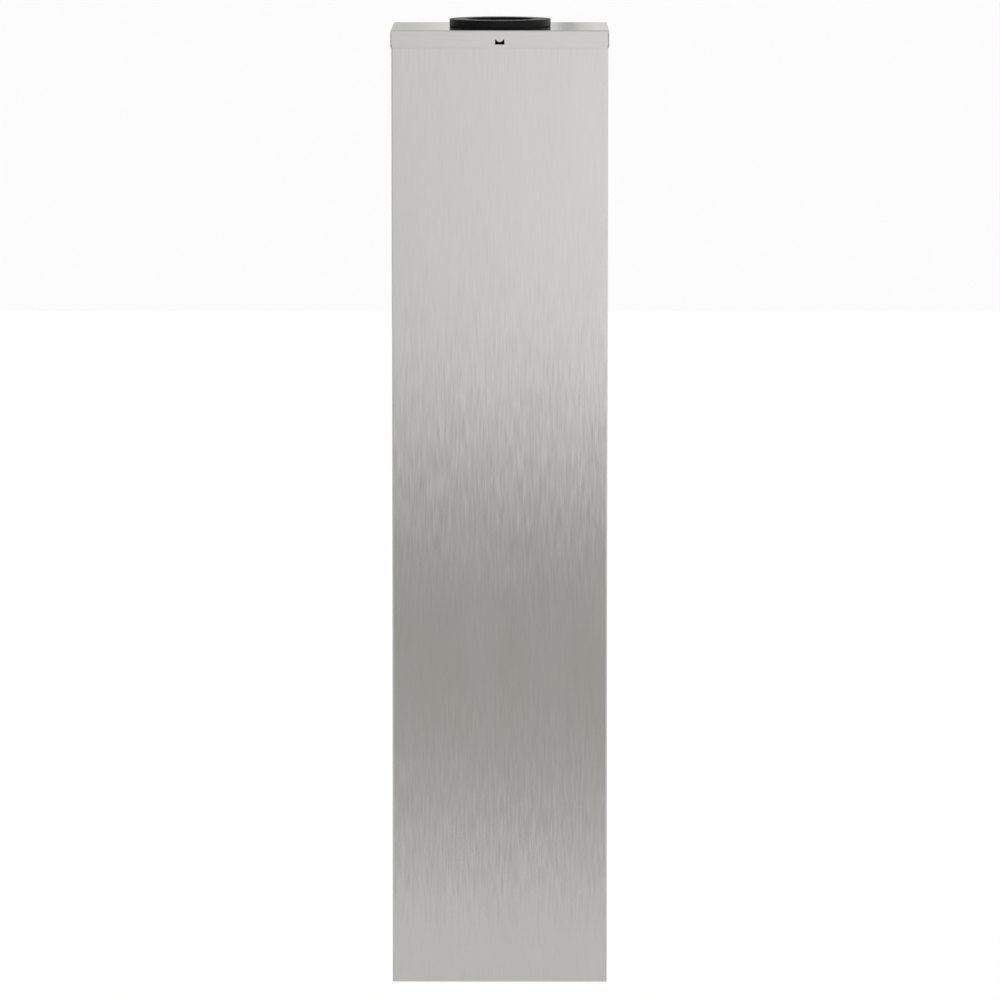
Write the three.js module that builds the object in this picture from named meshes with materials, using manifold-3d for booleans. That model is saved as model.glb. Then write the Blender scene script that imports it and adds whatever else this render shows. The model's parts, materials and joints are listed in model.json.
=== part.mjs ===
// Wall-mounted drop-in mailbox: a tall folded stainless housing with a hinged lid, a round drop-in
// collar in the lid, a key-released catch behind the lid's front skirt, and a lift-out liner.
//
// Millimetres. +Z is up, the front faces -Y and the wall is the plane y = 0. The origin lies on the
// back panel's wall face, on the centre line and half way up.

import * as THREE from 'three';
import { mergeVertices } from 'three/addons/utils/BufferGeometryUtils.js';
import Module from 'manifold-3d';

// ---------------------------------------------------------------- driving dimensions

const HEIGHT = 1000; // bottom edge to the lid's top face
const BODY_WIDTH = 225;
const BODY_DEPTH = 200; // wall plane to the body's front face
const BODY_SHEET = 1.0;
const LID_SHEET = 0.8;
const GAP = 0.3; // clearance between neighbouring pieces
const LID_SKIRT = 18.2; // height of the lid's front and side skirts
const LID_REAR_MARGIN = 3; // the lid stops this far short of the wall, so that it can swing

const COLLAR_OUTER_R = 53.2;
const COLLAR_THROAT_R = 35.5;
const COLLAR_RISE = 8.2; // above the lid's top face

// facets round a circle
const COLLAR_SIDES = 60;
const SMALL_SIDES = 12;

const KEY_SLOT_WIDTH = 9.7;
const KEY_SLOT_HEIGHT = 5;
const KEY_SLOT_DROP = 9.5; // lid's top face to the slot's upper edge
const KEY_TAB_WIDTH = 6.8; // the round tongue that makes the slot a U
const KEY_TAB_DROP = 2.4;
const KEY_WINDOW_HALF = 9; // half width of the opening behind the slot, in the housing

const LINER_TOP = 400;

// ---------------------------------------------------------------- derived places

const BOTTOM = -HEIGHT / 2;
const TOP = HEIGHT / 2;
const HALF_BODY = BODY_WIDTH / 2;
const FRONT = -BODY_DEPTH;
const LID_UNDERSIDE = TOP - LID_SHEET;
const HALF_LID = HALF_BODY + GAP + LID_SHEET;
const LID_FRONT = FRONT - GAP - LID_SHEET;
const LID_REAR = -LID_REAR_MARGIN;
const UNDER_LID = LID_UNDERSIDE - GAP; // top of everything that hangs from the lid
const LID_CENTRE_Y = (LID_FRONT + LID_REAR) / 2;

// top flange of the housing, folded inwards under the lid
const FLANGE_TOP = TOP - 4;
const FLANGE_UNDER = FLANGE_TOP - BODY_SHEET;
const FLANGE_WIDTH = 14;
const FLANGE_EDGE_Y = FRONT + FLANGE_WIDTH;
const FLANGE_REAR_Y = -14;
const BODY_BEND_R = 1.5;
const RETURN_FLANGE = 12; // width of the return flanges behind the side walls

// hinge
const KNUCKLE_R = 2.6;
const KNUCKLE_BORE_R = 1.35;
const PIN_R = 1.05;
const LEAF_SHEET = 1.0;
const HINGE_LENGTH = 190;
const KNUCKLES = 11;
const HINGE_Y = -BODY_SHEET - GAP - KNUCKLE_R;
const HINGE_Z = UNDER_LID - KNUCKLE_R;
const LEAF_DEPTH = 24; // from the knuckles to each leaf's free edge
const HINGE_FIXINGS = [-76, -38, 0, 38, 76];

// studs welded under the lid, with their nuts
const STUD_R = 1.45;
const STUD_HOLE_R = 1.8;
const STUD_LENGTH = 7;
const NUT_ACROSS_CORNERS_R = 3.2;
const NUT_BORE_R = 1.85;
const NUT_HEIGHT = 2.4;

// catch: a lever that hooks under the front flange
const CATCH_PIVOT_Y = -178;
const CATCH_PIVOT_Z = 472;
const CATCH_TRAVEL = THREE.MathUtils.degToRad(10); // locked to released; it is modelled released
const CATCH_PIN_R = 1.5;
const CATCH_BORE_R = 1.85;
const CATCH_HUB_R = 4.2;
const CATCH_TOP_R = 24; // the hook's upper face is an arc around the pivot
const CATCH_HALF_WIDTH = 6;
const HOOK_HALF_WIDTH = 3;
const BRACKET_SHEET = 1.2;
const BRACKET_INNER_X = 11;
const BRACKET_EAR_X = 24;
const BRACKET_STUD_X = 18;
const BRACKET_FRONT_Y = -181;
const BRACKET_REAR_Y = -168;
const BRACKET_WEB_Z = 464;

// liner and its bail handle
const LINER_HALF_WIDTH = 92.5;
const LINER_FRONT = -181;
const LINER_REAR = -13;
const LINER_WALL = 2;
const LINER_FLOOR = 2.4;
const LINER_CORNER_R = 12;
const LINER_LIP = 2.5;
const LINER_LIP_HEIGHT = 4.5;
const LINER_BOTTOM = BOTTOM + BODY_SHEET + 0.4;
const BAIL_R = 2.5;
const BAIL_ARM_X = 87;
const BAIL_END_X = 94.5;
const BAIL_PIVOT_Y = (LINER_FRONT + LINER_REAR) / 2;
const BAIL_PIVOT_Z = LINER_TOP - 8;
const BAIL_GRIP_R = 5;
const BAIL_GRIP_BORE_R = 2.85;
const BAIL_GRIP_HALF = 45;

// ---------------------------------------------------------------- materials

function material(color, roughness, metalness) {
  return new THREE.MeshStandardMaterial({ color, roughness, metalness });
}

const brushedSteel = material(0xc9c8c5, 0.34, 1.0);
const brightSteel = material(0xb9babb, 0.28, 1.0);
const blackPlastic = material(0x1b1c1c, 0.38, 0.0);
const catchPlastic = material(0x2b2c2e, 0.5, 0.0);
const linerPlastic = material(0x5d6063, 0.6, 0.0);
const rubber = material(0x151515, 0.85, 0.0);

// ---------------------------------------------------------------- shaping tools

const wasm = await Module();
wasm.setup();

/** A closed manifold solid from a three.js geometry. */
function solid(geometry) {
  const bare = geometry.clone();
  bare.deleteAttribute('normal');
  bare.deleteAttribute('uv');
  const merged = mergeVertices(bare, 1e-4);
  return new wasm.Manifold(new wasm.Mesh({
    numProp: 3,
    vertProperties: new Float32Array(merged.attributes.position.array),
    triVerts: new Uint32Array(merged.index.array),
  }));
}

/** The three.js geometry of a manifold solid. */
function geometryOf(body) {
  const mesh = body.getMesh();
  const geometry = new THREE.BufferGeometry();
  geometry.setAttribute('position', new THREE.BufferAttribute(mesh.vertProperties, 3));
  geometry.setIndex(new THREE.BufferAttribute(mesh.triVerts, 1));
  geometry.computeVertexNormals();
  return geometry;
}

function box([x0, x1], [y0, y1], [z0, z1]) {
  const geometry = new THREE.BoxGeometry(x1 - x0, y1 - y0, z1 - z0);
  geometry.translate((x0 + x1) / 2, (y0 + y1) / 2, (z0 + z1) / 2);
  return solid(geometry);
}

/** An upright cylinder between two heights. */
function post(radius, [z0, z1], x, y, sides = SMALL_SIDES) {
  const geometry = new THREE.CylinderGeometry(radius, radius, z1 - z0, sides);
  geometry.rotateX(Math.PI / 2);
  geometry.translate(x, y, (z0 + z1) / 2);
  return solid(geometry);
}

/** A cylinder along X, between two stations. */
function rod(radius, [x0, x1], y, z, sides = SMALL_SIDES) {
  const geometry = new THREE.CylinderGeometry(radius, radius, x1 - x0, sides);
  geometry.rotateZ(Math.PI / 2);
  geometry.translate((x0 + x1) / 2, y, z);
  return solid(geometry);
}

/** A cylinder along Y, between two stations. */
function boreAlongY(radius, [y0, y1], x, z, sides = SMALL_SIDES) {
  const geometry = new THREE.CylinderGeometry(radius, radius, y1 - y0, sides);
  geometry.translate(x, (y0 + y1) / 2, z);
  return solid(geometry);
}

function shapeOf(points) {
  return new THREE.Shape(points.map(([a, b]) => new THREE.Vector2(a, b)));
}

/** Extrudes a plan outline, drawn in X and Y, between two heights. */
function plate(shape, [z0, z1], curveSegments = 6) {
  const geometry = new THREE.ExtrudeGeometry(shape, { depth: z1 - z0, bevelEnabled: false, curveSegments });
  geometry.translate(0, 0, z0);
  return solid(geometry);
}

/** Extrudes a side outline, drawn in Y and Z, between two stations along X. */
function sideProfile(shape, [x0, x1], curveSegments = 6) {
  const geometry = new THREE.ExtrudeGeometry(shape, { depth: x1 - x0, bevelEnabled: false, curveSegments });
  geometry.applyMatrix4(new THREE.Matrix4().set(0, 0, 1, x0, 1, 0, 0, 0, 0, 1, 0, 0, 0, 0, 0, 1));
  return solid(geometry);
}

/** Extrudes a front outline, drawn in X and Z, between two stations along Y. */
function frontProfile(shape, [y0, y1], curveSegments = 6) {
  const geometry = new THREE.ExtrudeGeometry(shape, { depth: y1 - y0, bevelEnabled: false, curveSegments });
  geometry.rotateX(Math.PI / 2);
  geometry.translate(0, y1, 0);
  return solid(geometry);
}

/** A rectangle whose corners are rounded, as a plan outline. */
function roundedRectangle([x0, x1], [y0, y1], radius) {
  const shape = new THREE.Shape();
  shape.absarc(x1 - radius, y1 - radius, radius, 0, Math.PI / 2);
  shape.absarc(x0 + radius, y1 - radius, radius, Math.PI / 2, Math.PI);
  shape.absarc(x0 + radius, y0 + radius, radius, Math.PI, 1.5 * Math.PI);
  shape.absarc(x1 - radius, y0 + radius, radius, 1.5 * Math.PI, 2 * Math.PI);
  return shape;
}

/** The outline of a folded sheet whose middle line runs through the corners, each bent to a radius. */
function foldedSheet(corners, thickness, bendRadius, bendSteps = 4) {
  const path = corners.map(([a, b]) => new THREE.Vector2(a, b));
  const left = [];
  const right = [];
  function station(point, direction) {
    const normal = new THREE.Vector2(-direction.y, direction.x).multiplyScalar(thickness / 2);
    left.push(point.clone().add(normal));
    right.push(point.clone().sub(normal));
  }
  const heading = (from, to) => to.clone().sub(from).normalize();
  station(path[0], heading(path[0], path[1]));
  for (let i = 1; i < path.length - 1; i += 1) {
    const before = heading(path[i - 1], path[i]);
    const after = heading(path[i], path[i + 1]);
    const turn = Math.atan2(before.cross(after), before.dot(after));
    const side = Math.sign(turn);
    const start = path[i].clone().addScaledVector(before, -bendRadius * Math.tan(Math.abs(turn) / 2));
    const inward = new THREE.Vector2(-before.y, before.x).multiplyScalar(side * bendRadius);
    const centre = start.clone().add(inward);
    for (let step = 0; step <= bendSteps; step += 1) {
      const angle = (turn * step) / bendSteps;
      const point = start.clone().rotateAround(centre, angle);
      station(point, before.clone().rotateAround(new THREE.Vector2(), angle));
    }
  }
  station(path.at(-1), heading(path.at(-2), path.at(-1)));
  return new THREE.Shape([...left, ...right.reverse()]);
}

function union(...bodies) {
  return bodies.reduce((whole, next) => whole.add(next));
}

function cut(body, ...tools) {
  return tools.reduce((whole, tool) => whole.subtract(tool), body);
}

const model = new THREE.Group();

/** Adds one named piece, from a manifold solid or a geometry, to the model or to a nested group. */
function piece(name, shape, look, parent = model) {
  const geometry = shape.isBufferGeometry ? shape : geometryOf(shape);
  const mesh = new THREE.Mesh(geometry, look);
  mesh.name = name;
  parent.add(mesh);
}

// ---------------------------------------------------------------- housing

const BUFFER_INSET = 8; // from the body's faces
const BUFFER_PLACES = [
  [-80, FRONT + BUFFER_INSET],
  [80, FRONT + BUFFER_INSET],
  [-HALF_BODY + BUFFER_INSET, -70],
  [HALF_BODY - BUFFER_INSET, -70],
];
const BUFFER_HOLE_R = 2;

/** Front and both sides in one folded sheet, with return flanges at the back and a flange on top. */
function bodyShell() {
  const middle = HALF_BODY - BODY_SHEET / 2;
  const rear = -BODY_SHEET - GAP - BODY_SHEET / 2;
  const front = FRONT + BODY_SHEET / 2;
  const returnEdge = middle - RETURN_FLANGE;
  const corners = [
    [-returnEdge, rear], [-middle, rear], [-middle, front],
    [middle, front], [middle, rear], [returnEdge, rear],
  ];
  const walls = plate(foldedSheet(corners, BODY_SHEET, BODY_BEND_R), [BOTTOM, FLANGE_TOP]);
  const innerX = HALF_BODY - FLANGE_WIDTH;
  const flangeHeights = [FLANGE_UNDER, FLANGE_TOP];
  const edge = middle - 1;
  const shell = union(
    walls,
    box([-edge, edge], [front, FLANGE_EDGE_Y], flangeHeights),
    box([-middle, -innerX], [front + 1, FLANGE_REAR_Y], flangeHeights),
    box([innerX, middle], [front + 1, FLANGE_REAR_Y], flangeHeights),
  );
  const keyTop = TOP - KEY_SLOT_DROP;
  const keyWindow = box(
    [-KEY_WINDOW_HALF, KEY_WINDOW_HALF], [FRONT - 1, FRONT + BODY_SHEET + 2],
    [keyTop - KEY_SLOT_HEIGHT - 1, keyTop + 1],
  );
  const throughFlange = [FLANGE_UNDER - 1, FLANGE_TOP + 1];
  const bufferHoles = BUFFER_PLACES.map(([x, y]) => post(BUFFER_HOLE_R, throughFlange, x, y));
  return cut(shell, keyWindow, ...bufferHoles);
}

const WALL_HOLE_R = 4.25;
const KEYHOLE_SLOT_R = 3;
const WALL_HOLE_X = 75;
const UPPER_HOLES_Z = 420;
const LOWER_HOLES_Z = -350;
const KEYHOLE_RISE = 12;

/** Countersunk on the wall side, so that nothing stands proud of the wall plane. */
function rivetHole(x, z) {
  const profile = [[0, -1.5], [1.8, -1.5], [1.8, -0.9], [2.7, 0.1], [0, 0.1]];
  const geometry = new THREE.LatheGeometry(profile.map(([r, y]) => new THREE.Vector2(r, y)), SMALL_SIDES);
  geometry.translate(x, 0, z);
  return solid(geometry);
}

const FIXING_OFFSET = 16; // from the pin to each leaf's row of fixings
const RIVETS_Z = HINGE_Z - FIXING_OFFSET;
const BACK_PANEL_TOP = TOP - 6;

function backPanel() {
  const sheet = box([-HALF_BODY, HALF_BODY], [-BODY_SHEET, 0], [BOTTOM, BACK_PANEL_TOP]);
  const through = [-BODY_SHEET - 1, 1];
  const holes = [];
  for (const x of [-WALL_HOLE_X, WALL_HOLE_X]) {
    holes.push(boreAlongY(WALL_HOLE_R, through, x, UPPER_HOLES_Z, 20));
    holes.push(boreAlongY(WALL_HOLE_R, through, x, LOWER_HOLES_Z, 20));
    holes.push(boreAlongY(KEYHOLE_SLOT_R, through, x, LOWER_HOLES_Z + KEYHOLE_RISE));
    holes.push(box(
      [x - KEYHOLE_SLOT_R, x + KEYHOLE_SLOT_R], through, [LOWER_HOLES_Z, LOWER_HOLES_Z + KEYHOLE_RISE],
    ));
  }
  return cut(sheet, ...holes, ...HINGE_FIXINGS.map((x) => rivetHole(x, RIVETS_Z)));
}

const PAN_RIM = 16;
const DRAIN_R = 5;
const DRAIN_X = 80;

/** A shallow tray that closes the bottom, with its rim turned up inside the walls. */
function basePan() {
  const halfWidth = HALF_BODY - BODY_SHEET - GAP;
  const front = FRONT + BODY_SHEET + GAP;
  const rear = -2 * (BODY_SHEET + GAP);
  const footprint = (inset, radius) => (
    roundedRectangle([inset - halfWidth, halfWidth - inset], [front + inset, rear - inset], radius)
  );
  const outer = plate(footprint(0, 2), [BOTTOM, BOTTOM + PAN_RIM]);
  const inner = plate(footprint(BODY_SHEET, 1), [BOTTOM + BODY_SHEET, BOTTOM + PAN_RIM + 1]);
  const drains = [-DRAIN_X, DRAIN_X].map((x) => post(DRAIN_R, [BOTTOM - 1, BOTTOM + 3], x, LID_CENTRE_Y, 16));
  return cut(outer, inner, ...drains);
}

/** A rubber stop pushed into the flange: a head that the lid closes on, a neck and a barb. */
function lidBuffer(x, y) {
  const neck = BUFFER_HOLE_R - GAP;
  const head = FLANGE_TOP + GAP;
  const barb = FLANGE_UNDER - GAP;
  const profile = [
    [0, barb - 3], [1.2, barb - 3], [2.8, barb - 0.6], [2.8, barb], [neck, barb],
    [neck, head], [5, head], [5, UNDER_LID - 0.6], [4.4, UNDER_LID], [0, UNDER_LID],
  ];
  const geometry = new THREE.LatheGeometry(profile.map(([r, z]) => new THREE.Vector2(r, z)), SMALL_SIDES);
  geometry.rotateX(Math.PI / 2);
  geometry.translate(x, y, 0);
  return solid(geometry);
}

piece('body_shell', bodyShell(), brushedSteel);
piece('back_panel', backPanel(), brushedSteel);
piece('base_pan', basePan(), brushedSteel);
BUFFER_PLACES.forEach(([x, y], i) => piece(`lid_buffer_${i + 1}`, lidBuffer(x, y), rubber));

// ---------------------------------------------------------------- hinge

const KNUCKLE_PITCH = HINGE_LENGTH / KNUCKLES;
const KNUCKLE_PLAY = 0.4;
const NOTCH = 3; // a leaf stays this far from the pin, except at its own knuckles

/** The start and end of each knuckle along X. The housing's leaf takes the first, third, and so on. */
function knuckleStations(first) {
  const stations = [];
  for (let i = first; i < KNUCKLES; i += 2) {
    const start = -HINGE_LENGTH / 2 + i * KNUCKLE_PITCH;
    stations.push([start + KNUCKLE_PLAY / 2, start + KNUCKLE_PITCH - KNUCKLE_PLAY / 2]);
  }
  return stations;
}

function knuckled(leaf, tab, stations) {
  const rolls = stations.map((x) => rod(KNUCKLE_R, x, HINGE_Y, HINGE_Z));
  const whole = union(leaf, ...stations.map(tab), ...rolls);
  return cut(whole, rod(KNUCKLE_BORE_R, [-HINGE_LENGTH, HINGE_LENGTH], HINGE_Y, HINGE_Z));
}

function housingLeaf() {
  const half = HINGE_LENGTH / 2 - KNUCKLE_PLAY / 2;
  const thickness = [-BODY_SHEET - GAP - LEAF_SHEET, -BODY_SHEET - GAP];
  const leaf = box([-half, half], thickness, [HINGE_Z - LEAF_DEPTH, HINGE_Z - NOTCH]);
  const tab = (x) => box(x, thickness, [HINGE_Z - NOTCH - 1, HINGE_Z]);
  const holes = HINGE_FIXINGS.map((x) => boreAlongY(STUD_HOLE_R, [-5, 0], x, RIVETS_Z));
  return cut(knuckled(leaf, tab, knuckleStations(0)), ...holes);
}

const LID_STUDS_Y = HINGE_Y - FIXING_OFFSET;

function lidLeaf() {
  const half = HINGE_LENGTH / 2 - KNUCKLE_PLAY / 2;
  const heights = [UNDER_LID - LEAF_SHEET, UNDER_LID];
  const leaf = box([-half, half], [HINGE_Y - LEAF_DEPTH, HINGE_Y - NOTCH], heights);
  const tab = (x) => box(x, [HINGE_Y - NOTCH - 1, HINGE_Y], heights);
  const holes = HINGE_FIXINGS.map((x) => post(STUD_HOLE_R, [UNDER_LID - 5, UNDER_LID + 1], x, LID_STUDS_Y));
  return cut(knuckled(leaf, tab, knuckleStations(1)), ...holes);
}

/** A flush head in the back panel, a shank, and a domed head inside. */
function hingeRivet(x) {
  const inside = -BODY_SHEET - 2 * GAP - LEAF_SHEET;
  const profile = [
    [0, inside - 1.3], [1.6, inside - 1.2], [2.7, inside - 0.6], [3, inside],
    [1.5, inside], [1.5, -0.9], [2.3, -0.1], [0, -0.1],
  ];
  const geometry = new THREE.LatheGeometry(profile.map(([r, y]) => new THREE.Vector2(r, y)), SMALL_SIDES);
  geometry.translate(x, 0, RIVETS_Z);
  return solid(geometry);
}

/** A hexagon nut under a sheet that hangs from the lid. */
function hexNut(x, y, sheetUnderside) {
  const top = sheetUnderside - 0.2;
  const nut = post(NUT_ACROSS_CORNERS_R, [top - NUT_HEIGHT, top], x, y, 6);
  return cut(nut, post(NUT_BORE_R, [top - NUT_HEIGHT - 1, top + 1], x, y));
}

piece('hinge_leaf_body', housingLeaf(), brightSteel);
piece('hinge_leaf_lid', lidLeaf(), brightSteel);
piece('hinge_pin', rod(PIN_R, [-HINGE_LENGTH / 2 - 1, HINGE_LENGTH / 2 + 1], HINGE_Y, HINGE_Z), brightSteel);
HINGE_FIXINGS.forEach((x, i) => {
  piece(`hinge_rivet_${i + 1}`, hingeRivet(x), brightSteel);
  piece(`lid_hinge_nut_${i + 1}`, hexNut(x, LID_STUDS_Y, UNDER_LID - LEAF_SHEET), brightSteel);
});

// ---------------------------------------------------------------- lid

const LID_BEND_R = 1.6; // outside radius of the lid's folds
const CORNER_JOINT = 0.3; // the front and side skirts meet in an open joint this wide
const CORNER_RELIEF_WIDTH = 0.8; // the joint widens at the skirt's lower edge
const CORNER_RELIEF_HEIGHT = 2.6;
const COLLAR_HOLE_R = 40;
const BRACKET_STUD_Y = (BRACKET_FRONT_Y + BRACKET_REAR_Y) / 2;

/** A block with its top front and side edges rounded: the outside, or the inside, of the folded lid. */
function lidBlock(halfWidth, front, rear, top, radius) {
  const bottom = TOP - LID_SKIRT;
  const across = new THREE.Shape();
  across.moveTo(-halfWidth, bottom);
  across.lineTo(halfWidth, bottom);
  across.absarc(halfWidth - radius, top - radius, radius, 0, Math.PI / 2);
  across.absarc(-halfWidth + radius, top - radius, radius, Math.PI / 2, Math.PI);
  const along = new THREE.Shape();
  along.moveTo(rear, bottom);
  along.lineTo(rear, top);
  along.absarc(front + radius, top - radius, radius, Math.PI / 2, Math.PI);
  along.lineTo(front, bottom);
  const width = frontProfile(across, [front - 1, rear + 1], 5);
  const depth = sideProfile(along, [-halfWidth - 1, halfWidth + 1], 5);
  return width.intersect(depth);
}

/** The key slot: a rectangle with a round tongue hanging from its upper edge. */
function keySlot() {
  const upper = TOP - KEY_SLOT_DROP;
  const half = KEY_SLOT_WIDTH / 2;
  const shape = new THREE.Shape();
  shape.moveTo(-half, upper - KEY_SLOT_HEIGHT);
  shape.lineTo(half, upper - KEY_SLOT_HEIGHT);
  shape.lineTo(half, upper);
  shape.lineTo(KEY_TAB_WIDTH / 2, upper);
  shape.absellipse(0, upper, KEY_TAB_WIDTH / 2, KEY_TAB_DROP, 0, -Math.PI, true);
  shape.lineTo(-half, upper);
  return frontProfile(shape, [LID_FRONT - 0.5, FRONT + 0.5], 8);
}

/** The open joint between the front skirt and one side skirt, with its relief at the lower edge. */
function cornerJoint(side) {
  const skirtBottom = TOP - LID_SKIRT;
  const sideSkirt = side * (HALF_LID - LID_SHEET);
  const across = (width) => [sideSkirt, sideSkirt - side * width].sort((a, b) => a - b);
  const through = [LID_FRONT - 0.5, LID_FRONT + LID_SHEET + 0.1];
  return union(
    box(across(CORNER_JOINT), through, [skirtBottom - 1, TOP - LID_BEND_R - 0.4]),
    box(across(CORNER_RELIEF_WIDTH), through, [skirtBottom - 1, skirtBottom + CORNER_RELIEF_HEIGHT]),
  );
}

function lidPanel() {
  const outside = lidBlock(HALF_LID, LID_FRONT, LID_REAR, TOP, LID_BEND_R);
  const inside = lidBlock(
    HALF_LID - LID_SHEET, LID_FRONT + LID_SHEET, LID_REAR + 5, LID_UNDERSIDE, LID_BEND_R - LID_SHEET,
  );
  const skirtBottom = TOP - LID_SKIRT;
  const clearBelow = box(
    [-HALF_LID + LID_SHEET, HALF_LID - LID_SHEET], [LID_FRONT + LID_SHEET, LID_REAR + 5],
    [skirtBottom - 1, skirtBottom + 1],
  );
  const studs = [
    ...HINGE_FIXINGS.map((x) => [x, LID_STUDS_Y]),
    ...[-BRACKET_STUD_X, BRACKET_STUD_X].map((x) => [x, BRACKET_STUD_Y]),
  ].map(([x, y]) => post(STUD_R, [LID_UNDERSIDE - STUD_LENGTH, LID_UNDERSIDE + 0.2], x, y));
  const shell = cut(
    outside, inside, clearBelow, keySlot(), cornerJoint(-1), cornerJoint(1),
    post(COLLAR_HOLE_R, [LID_UNDERSIDE - 1, TOP + 1], 0, LID_CENTRE_Y, COLLAR_SIDES),
  );
  return union(shell, ...studs);
}

piece('lid_panel', lidPanel(), brushedSteel);

// ---------------------------------------------------------------- drop-in collar

const GASKET_HEIGHT = 0.9;
const SEAT_PLAY = 0.15;
const COLLAR_SEAT = TOP + 2 * SEAT_PLAY + GASKET_HEIGHT;
const COLLAR_NECK_R = COLLAR_HOLE_R - 0.5;
const COLLAR_NECK_END = 490;

function ring(profile, sides = COLLAR_SIDES) {
  const closed = [...profile, profile[0]];
  const geometry = new THREE.LatheGeometry(closed.map(([r, z]) => new THREE.Vector2(r, z)), sides);
  geometry.rotateX(Math.PI / 2);
  geometry.translate(0, LID_CENTRE_Y, 0);
  return solid(geometry);
}

/** A flanged sleeve: a flat ring on top of the lid and a neck that goes down through it. */
function collar() {
  const top = TOP + COLLAR_RISE;
  return ring([
    [COLLAR_THROAT_R, COLLAR_NECK_END], [COLLAR_NECK_R - 0.8, COLLAR_NECK_END],
    [COLLAR_NECK_R, COLLAR_NECK_END + 0.8], [COLLAR_NECK_R, COLLAR_SEAT], [COLLAR_OUTER_R, COLLAR_SEAT],
    [COLLAR_OUTER_R, top - 0.6], [COLLAR_OUTER_R - 0.6, top], [COLLAR_THROAT_R + 0.9, top],
    [COLLAR_THROAT_R + 0.25, top - 0.3], [COLLAR_THROAT_R, top - 1],
  ]);
}

function gasket() {
  const low = TOP + SEAT_PLAY;
  const outer = COLLAR_OUTER_R - 0.2;
  const inner = COLLAR_NECK_R + 0.6;
  return ring([[inner, low], [outer, low], [outer, low + GASKET_HEIGHT], [inner, low + GASKET_HEIGHT]]);
}

const NUT_LUGS = 12;
const NUT_LUG_R = 50;
const NUT_ROOT_R = 47.5;
const NUT_THICKNESS = 5;

/** A plastic ring nut with finger lugs, tightened against the lid's underside. */
function collarNut() {
  const outline = new THREE.Shape();
  const steps = NUT_LUGS * 6;
  for (let i = 0; i < steps; i += 1) {
    const radius = i % 6 < 3 ? NUT_LUG_R : NUT_ROOT_R;
    const angle = (2 * Math.PI * (i + (i % 3) * 0.25)) / steps;
    const x = radius * Math.cos(angle);
    const y = radius * Math.sin(angle) + LID_CENTRE_Y;
    if (i === 0) {
      outline.moveTo(x, y);
    } else {
      outline.lineTo(x, y);
    }
  }
  const disc = plate(outline, [UNDER_LID - NUT_THICKNESS, UNDER_LID]);
  const bore = [UNDER_LID - NUT_THICKNESS - 1, UNDER_LID + 1];
  return cut(disc, post(COLLAR_NECK_R + GAP, bore, 0, LID_CENTRE_Y, COLLAR_SIDES));
}

piece('collar', collar(), blackPlastic);
piece('collar_gasket', gasket(), rubber);
piece('collar_nut', collarNut(), blackPlastic);

// ---------------------------------------------------------------- catch

/** A hat-shaped bracket that hangs from the lid's studs and carries the lever's pin. */
function catchBracket() {
  const cheek = BRACKET_INNER_X + BRACKET_SHEET / 2;
  const ear = UNDER_LID - BRACKET_SHEET / 2;
  const corners = [
    [-BRACKET_EAR_X, ear], [-cheek, ear], [-cheek, BRACKET_WEB_Z],
    [cheek, BRACKET_WEB_Z], [cheek, ear], [BRACKET_EAR_X, ear],
  ];
  const hat = frontProfile(foldedSheet(corners, BRACKET_SHEET, 1.2, 3), [BRACKET_FRONT_Y, BRACKET_REAR_Y]);
  const holes = [-BRACKET_STUD_X, BRACKET_STUD_X].map(
    (x) => post(STUD_HOLE_R, [ear - 2, ear + 2], x, BRACKET_STUD_Y),
  );
  const bore = rod(CATCH_BORE_R, [-BRACKET_EAR_X, BRACKET_EAR_X], CATCH_PIVOT_Y, CATCH_PIVOT_Z);
  return cut(hat, bore, ...holes);
}

/** The lever in its locked position, drawn around its own pivot. Its tail outweighs the hook. */
function catchLever() {
  const onArc = (y) => [y, Math.sqrt(CATCH_TOP_R ** 2 - y ** 2)];
  const face = -6.5; // the key's prongs push here, on each side of the hook
  const back = -2.5;
  const tip = -10.8;
  const stem = shapeOf([
    [-3.6, -2], [3, 0], [back, 6.5], onArc(back), onArc((face + back) / 2), onArc(face), [face, 5],
  ]);
  const hook = shapeOf([[face + 1, 12.5], onArc(face + 1), onArc(-8.5), onArc(tip), [tip, 20]]);
  const tail = shapeOf([[0, -3.6], [12.5, -3.6], [13.5, -2.6], [13.5, 3.2], [12.5, 4.2], [0, 4.2]]);
  const whole = union(
    rod(CATCH_HUB_R, [-CATCH_HALF_WIDTH, CATCH_HALF_WIDTH], 0, 0),
    rod(3.4, [GAP - BRACKET_INNER_X, 0], 0, 0),
    sideProfile(stem, [-CATCH_HALF_WIDTH, CATCH_HALF_WIDTH]),
    sideProfile(hook, [-HOOK_HALF_WIDTH, HOOK_HALF_WIDTH]),
    sideProfile(tail, [-CATCH_HALF_WIDTH, CATCH_HALF_WIDTH]),
  );
  return cut(whole, rod(CATCH_BORE_R, [-20, 20], 0, 0));
}

/** The angle at which a line from an outside point touches a circle round the origin. */
function tangentAngle(y, z, radius, side) {
  return Math.atan2(z, y) + side * Math.acos(radius / Math.hypot(y, z));
}

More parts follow.
